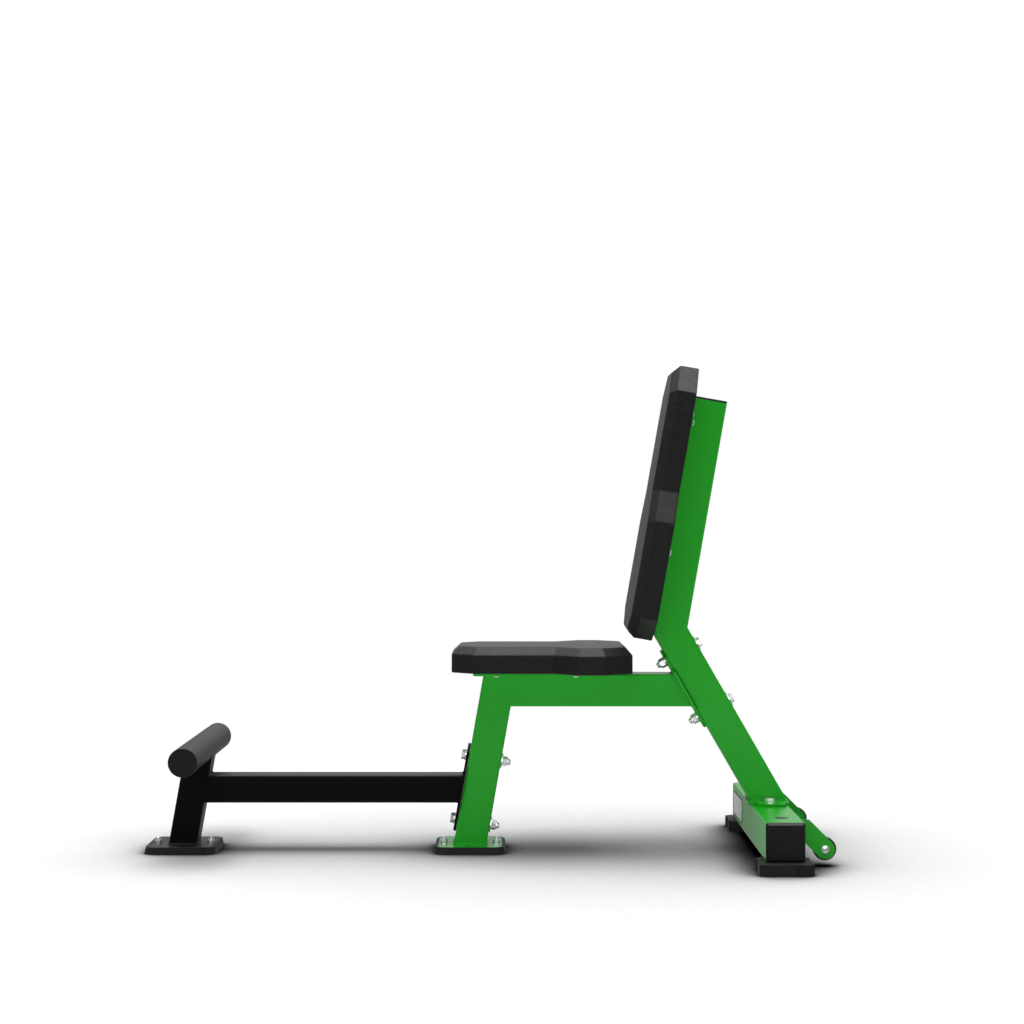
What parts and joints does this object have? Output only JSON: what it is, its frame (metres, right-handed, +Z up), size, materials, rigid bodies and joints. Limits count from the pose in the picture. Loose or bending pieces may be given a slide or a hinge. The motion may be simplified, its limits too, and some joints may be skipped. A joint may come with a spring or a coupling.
{
  "type": "upright utility bench",
  "caption": "Short seat and tall upright back pad on a square-tube frame, with a bolt-on footrest in front and a wide crossmember with transport wheels behind.",
  "frame": {"origin": "middle of the bench's length and width, on the floor under it", "axes": "+X from the footrest towards the transport wheels, +Y across the bench towards the sitter's right, +Z up"},
  "size_m": [1.46, 0.672, 1.0479],
  "materials": {
    "green_powder_coat": "satin powder coat",
    "black_powder_coat": "satin powder coat",
    "black_plastic": "satin moulded",
    "black_rubber": "matt moulded",
    "wheel_rubber": "smooth",
    "zinc_plate": "bright zinc plate",
    "black_vinyl": "fine-grained upholstery vinyl",
    "plywood": "raw"
  },
  "bodies": {
    "frame": {"main_foot_plate": "green_powder_coat", "main_post": "green_powder_coat", "seat_rail": "green_powder_coat", "seat_bracket": "green_powder_coat", "spine_joint_plate": "green_powder_coat", "spine_lower": "green_powder_coat", "spine_upper": "green_powder_coat", "back_bracket_lower": "green_powder_coat", "back_bracket_upper": "green_powder_coat", "saddle_plate": "green_powder_coat", "crossmember": "green_powder_coat", "wheel_ear_left_outer": "green_powder_coat", "wheel_ear_left_inner": "green_powder_coat", "wheel_ear_right_outer": "green_powder_coat", "wheel_ear_right_inner": "green_powder_coat", "front_foot_plate": "black_powder_coat", "front_post": "black_powder_coat", "footrest_rail": "black_powder_coat", "footrest_joint_plate": "black_powder_coat", "foot_bar": "black_powder_coat", "foot_bar_cap_left": "black_plastic", "foot_bar_cap_right": "black_plastic", "spine_top_cap": "black_plastic", "crossmember_cap_left": "black_plastic", "crossmember_cap_right": "black_plastic", "front_foot_pad": "black_rubber", "main_foot_pad": "black_rubber", "rear_foot_left": "black_rubber", "rear_foot_right": "black_rubber", "front_foot_bolt_front": "zinc_plate", "front_foot_bolt_rear": "zinc_plate", "main_foot_bolt_front": "zinc_plate", "main_foot_bolt_rear": "zinc_plate", "footrest_joint_bolt_upper": "zinc_plate", "footrest_joint_bolt_lower": "zinc_plate", "footrest_joint_nut_upper": "zinc_plate", "footrest_joint_nut_lower": "zinc_plate", "spine_joint_bolt_upper": "zinc_plate", "spine_joint_bolt_lower": "zinc_plate", "spine_joint_nut_upper": "zinc_plate", "spine_joint_nut_lower": "zinc_plate", "seat_bolt_front_left": "zinc_plate", "seat_bolt_front_right": "zinc_plate", "seat_bolt_rear_left": "zinc_plate", "seat_bolt_rear_right": "zinc_plate", "back_bolt_lower_left": "zinc_plate", "back_bolt_lower_right": "zinc_plate", "back_bolt_upper_left": "zinc_plate", "back_bolt_upper_right": "zinc_plate", "saddle_bolt_left": "zinc_plate", "saddle_bolt_right": "zinc_plate", "axle_bolt_left": "zinc_plate", "axle_bolt_right": "zinc_plate", "seat_cushion": "black_vinyl", "back_cushion": "black_vinyl", "seat_board": "plywood", "back_board": "plywood"},
    "wheel_left": {"wheel_left": "wheel_rubber"},
    "wheel_right": {"wheel_right": "wheel_rubber"}
  },
  "joints": [
    {"name": "wheel_left_spin", "type": "hinge", "parent": "frame", "child": "wheel_left", "pos_m": [0.70595, -0.207, 0.0363], "axis": [0, 1, 0], "continuous": true},
    {"name": "wheel_right_spin", "type": "hinge", "parent": "frame", "child": "wheel_right", "pos_m": [0.70595, 0.207, 0.0363], "axis": [0, 1, 0], "continuous": true}
  ]
}
